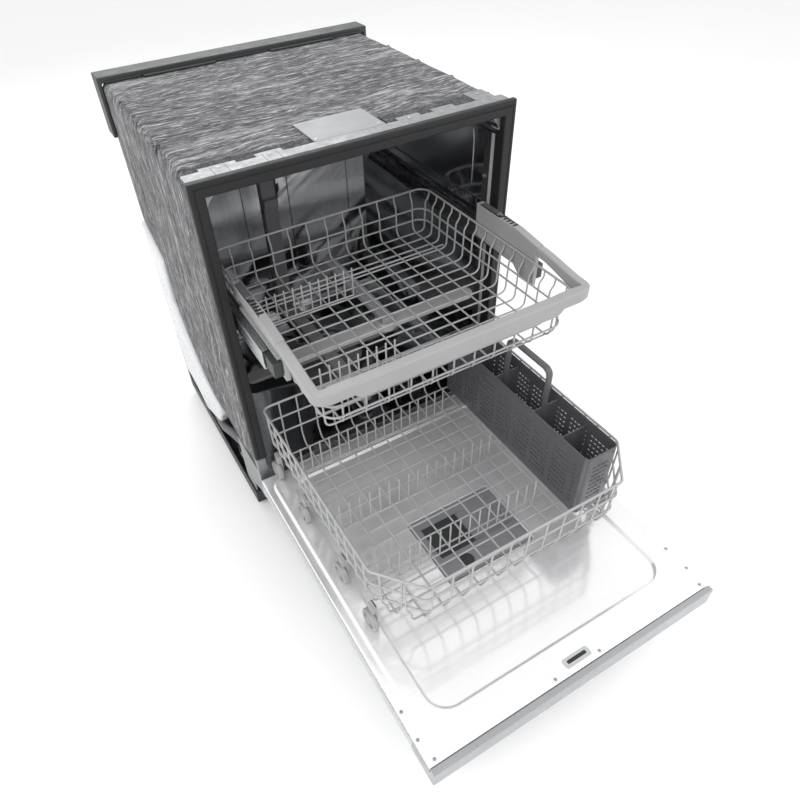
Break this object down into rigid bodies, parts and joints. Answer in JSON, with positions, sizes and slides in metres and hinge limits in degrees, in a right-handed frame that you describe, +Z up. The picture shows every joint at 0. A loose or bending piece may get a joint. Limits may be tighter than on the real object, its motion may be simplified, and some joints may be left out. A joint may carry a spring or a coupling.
{
  "type": "built-in dishwasher",
  "caption": "Under-counter dishwasher with its door down and both racks pulled out: felt-wrapped tub, sliding wire racks, cutlery basket, spray arms, water tank and base.",
  "frame": {"origin": "centre of the footprint of the open pose, on the floor under the feet", "axes": "+X to the machine's right seen from the front, +Y towards its back, +Z up; the door opens to -Y"},
  "size_m": [0.603, 1.264, 0.854],
  "materials": {
    "stainless_steel": "bright brushed sheet",
    "tub_steel": "bright rolled sheet",
    "zinc_plate": "zinc plated, satin",
    "charcoal_plastic": "fine matt texture",
    "black_plastic": "matt",
    "dark_grey_plastic": "matt",
    "grey_felt": "needled fibre felt",
    "white_plastic": "smooth, slightly translucent",
    "grey_plastic": "satin",
    "coated_wire": "nylon coated",
    "basket_plastic": "satin",
    "hose_rubber": "matt, ribbed",
    "console_grey": "metallic grey"
  },
  "bodies": {
    "cabinet": {"tub": "tub_steel", "front_flange": "zinc_plate", "tub_gasket": "charcoal_plastic", "insulation_blanket": "grey_felt", "rear_channel": "dark_grey_plastic", "base_pan": "black_plastic", "toe_panel": "black_plastic", "foot_front_left": "dark_grey_plastic", "foot_front_right": "dark_grey_plastic", "foot_rear_left": "dark_grey_plastic", "foot_rear_right": "dark_grey_plastic", "side_tank": "white_plastic", "sump": "grey_plastic", "circulation_motor": "dark_grey_plastic", "drain_pump": "black_plastic", "drain_hose": "hose_rubber", "spray_duct": "grey_plastic", "tub_rail_left": "stainless_steel", "tub_rail_right": "stainless_steel", "door_spring_left": "zinc_plate", "door_spring_right": "zinc_plate"},
    "door": {"door_outer_panel": "stainless_steel", "door_inner_liner": "stainless_steel", "door_console": "console_grey", "hinge_arm_left": "zinc_plate", "hinge_arm_right": "zinc_plate", "detergent_dispenser": "grey_plastic"},
    "lower_rack": {"lower_rack_walls": "coated_wire", "lower_rack_floor": "coated_wire", "cutlery_basket": "basket_plastic"},
    "upper_rack": {"upper_rack_walls": "coated_wire", "upper_rack_floor": "coated_wire", "upper_feed_tube": "grey_plastic", "upper_rack_rim": "grey_plastic", "upper_bracket_left": "grey_plastic", "upper_bracket_right": "grey_plastic"},
    "upper_runners": {"upper_runner_left": "dark_grey_plastic", "upper_runner_right": "dark_grey_plastic"},
    "middle_slides": {"middle_slide_left": "stainless_steel", "middle_slide_right": "stainless_steel"},
    "lower_fold_tines": {"lower_fold_tines": "coated_wire"},
    "upper_fold_tines": {"upper_fold_tines": "coated_wire"},
    "height_lever_left": {"height_lever_left": "basket_plastic"},
    "height_lever_right": {"height_lever_right": "basket_plastic"},
    "lower_spray_arm": {"lower_spray_arm": "grey_plastic"},
    "middle_spray_arm": {"middle_spray_arm": "grey_plastic"},
    "top_spray_arm": {"top_spray_arm": "grey_plastic"},
    "filter_cylinder": {"filter_cylinder": "grey_plastic"},
    "detergent_lid": {"detergent_lid": "dark_grey_plastic"},
    "rinse_aid_cap": {"rinse_aid_cap": "dark_grey_plastic"},
    "power_button": {"power_button": "dark_grey_plastic"},
    "start_button": {"start_button": "dark_grey_plastic"},
    "lower_wheel_left_1": {"lower_wheel_left_1": "grey_plastic"},
    "lower_wheel_left_2": {"lower_wheel_left_2": "grey_plastic"},
    "lower_wheel_left_3": {"lower_wheel_left_3": "grey_plastic"},
    "lower_wheel_left_4": {"lower_wheel_left_4": "grey_plastic"},
    "lower_wheel_right_1": {"lower_wheel_right_1": "grey_plastic"},
    "lower_wheel_right_2": {"lower_wheel_right_2": "grey_plastic"},
    "lower_wheel_right_3": {"lower_wheel_right_3": "grey_plastic"},
    "lower_wheel_right_4": {"lower_wheel_right_4": "grey_plastic"}
  },
  "joints": [
    {"name": "door_hinge", "type": "hinge", "parent": "cabinet", "child": "door", "pos_m": [0, 0.028, 0.165], "axis": [1, 0, 0], "range_deg": [-12, 0]},
    {"name": "lower_rack_slide", "type": "slide", "parent": "door", "child": "lower_rack", "axis": [0, 1, 0], "range_m": [0, 0.495]},
    {"name": "upper_rack_slide", "type": "slide", "parent": "cabinet", "child": "upper_runners", "axis": [0, 1, 0], "range_m": [0, 0.298]},
    {"name": "middle_slide_travel", "type": "slide", "parent": "cabinet", "child": "middle_slides", "axis": [0, 1, 0], "range_m": [0, 0.15]},
    {"name": "upper_rack_lift", "type": "slide", "parent": "upper_runners", "child": "upper_rack", "axis": [0, 0, 1], "range_m": [0, 0.04]},
    {"name": "lower_tines_fold", "type": "hinge", "parent": "lower_rack", "child": "lower_fold_tines", "pos_m": [0, -0.3445, 0.2517], "axis": [1, 0, 0], "range_deg": [0, 88]},
    {"name": "upper_tines_fold", "type": "hinge", "parent": "upper_rack", "child": "upper_fold_tines", "pos_m": [0, 0.0812, 0.5367], "axis": [1, 0, 0], "range_deg": [0, 88]},
    {"name": "lower_wheel_left_1_roll", "type": "hinge", "parent": "lower_rack", "child": "lower_wheel_left_1", "pos_m": [-0.2655, 0.02, 0.222], "axis": [1, 0, 0], "range_deg": [-1330, 0]},
    {"name": "lower_wheel_left_2_roll", "type": "hinge", "parent": "lower_rack", "child": "lower_wheel_left_2", "pos_m": [-0.2655, -0.11, 0.222], "axis": [1, 0, 0], "range_deg": [-1330, 0]},
    {"name": "lower_wheel_left_3_roll", "type": "hinge", "parent": "lower_rack", "child": "lower_wheel_left_3", "pos_m": [-0.2655, -0.268, 0.222], "axis": [1, 0, 0], "range_deg": [-1330, 0]},
    {"name": "lower_wheel_left_4_roll", "type": "hinge", "parent": "lower_rack", "child": "lower_wheel_left_4", "pos_m": [-0.2655, -0.376, 0.222], "axis": [1, 0, 0], "range_deg": [-1330, 0]},
    {"name": "height_lever_left_press", "type": "hinge", "parent": "upper_rack", "child": "height_lever_left", "pos_m": [-0.243, -0.003, 0.651], "axis": [1, 0, 0], "range_deg": [0, 20], "stiffness_Nm_per_rad": 0.5, "springref_deg": -5.73},
    {"name": "lower_wheel_right_1_roll", "type": "hinge", "parent": "lower_rack", "child": "lower_wheel_right_1", "pos_m": [0.2655, 0.02, 0.222], "axis": [1, 0, 0], "range_deg": [-1330, 0]},
    {"name": "lower_wheel_right_2_roll", "type": "hinge", "parent": "lower_rack", "child": "lower_wheel_right_2", "pos_m": [0.2655, -0.11, 0.222], "axis": [1, 0, 0], "range_deg": [-1330, 0]},
    {"name": "lower_wheel_right_3_roll", "type": "hinge", "parent": "lower_rack", "child": "lower_wheel_right_3", "pos_m": [0.2655, -0.268, 0.222], "axis": [1, 0, 0], "range_deg": [-1330, 0]},
    {"name": "lower_wheel_right_4_roll", "type": "hinge", "parent": "lower_rack", "child": "lower_wheel_right_4", "pos_m": [0.2655, -0.376, 0.222], "axis": [1, 0, 0], "range_deg": [-1330, 0]},
    {"name": "height_lever_right_press", "type": "hinge", "parent": "upper_rack", "child": "height_lever_right", "pos_m": [0.243, -0.003, 0.651], "axis": [1, 0, 0], "range_deg": [0, 20], "stiffness_Nm_per_rad": 0.5, "springref_deg": -5.73},
    {"name": "lower_arm_spin", "type": "hinge", "parent": "cabinet", "child": "lower_spray_arm", "pos_m": [0, 0.318, 0.223], "axis": [0, 0, 1], "continuous": true},
    {"name": "top_arm_spin", "type": "hinge", "parent": "cabinet", "child": "top_spray_arm", "pos_m": [0, 0.318, 0.8], "axis": [0, 0, 1], "continuous": true},
    {"name": "middle_arm_spin", "type": "hinge", "parent": "upper_rack", "child": "middle_spray_arm", "pos_m": [0, 0.0045, 0.503], "axis": [0, 0, 1], "continuous": true},
    {"name": "filter_turn", "type": "hinge", "parent": "cabinet", "child": "filter_cylinder", "pos_m": [0.06, 0.306, 0.2], "axis": [0, 0, 1], "range_deg": [0, 90]},
    {"name": "detergent_lid_slide", "type": "slide", "parent": "door", "child": "detergent_lid", "axis": [1, 0, 0], "range_m": [0, 0.08]},
    {"name": "rinse_cap_turn", "type": "hinge", "parent": "door", "child": "rinse_aid_cap", "pos_m": [-0.04, -0.351, 0.195], "axis": [0, 0, 1], "range_deg": [0, 90]},
    {"name": "power_button_press", "type": "slide", "parent": "door", "child": "power_button", "axis": [0, 0, 1], "range_m": [0, 0.0015], "stiffness_N_per_m": 200, "springref_m": -0.001},
    {"name": "start_button_press", "type": "slide", "parent": "door", "child": "start_button", "axis": [0, 0, 1], "range_m": [0, 0.0015], "stiffness_N_per_m": 200, "springref_m": -0.001}
  ],
  "couplings": [
    {"joint": "middle_slide_travel", "follows": "upper_rack_slide", "ratio": 0.5},
    {"joint": "lower_wheel_left_1_roll", "follows": "lower_rack_slide", "rad_per_m": -46.512},
    {"joint": "lower_wheel_left_2_roll", "follows": "lower_rack_slide", "rad_per_m": -46.512},
    {"joint": "lower_wheel_left_3_roll", "follows": "lower_rack_slide", "rad_per_m": -46.512},
    {"joint": "lower_wheel_left_4_roll", "follows": "lower_rack_slide", "rad_per_m": -46.512},
    {"joint": "lower_wheel_right_1_roll", "follows": "lower_rack_slide", "rad_per_m": -46.512},
    {"joint": "lower_wheel_right_2_roll", "follows": "lower_rack_slide", "rad_per_m": -46.512},
    {"joint": "lower_wheel_right_3_roll", "follows": "lower_rack_slide", "rad_per_m": -46.512},
    {"joint": "lower_wheel_right_4_roll", "follows": "lower_rack_slide", "rad_per_m": -46.512}
  ]
}
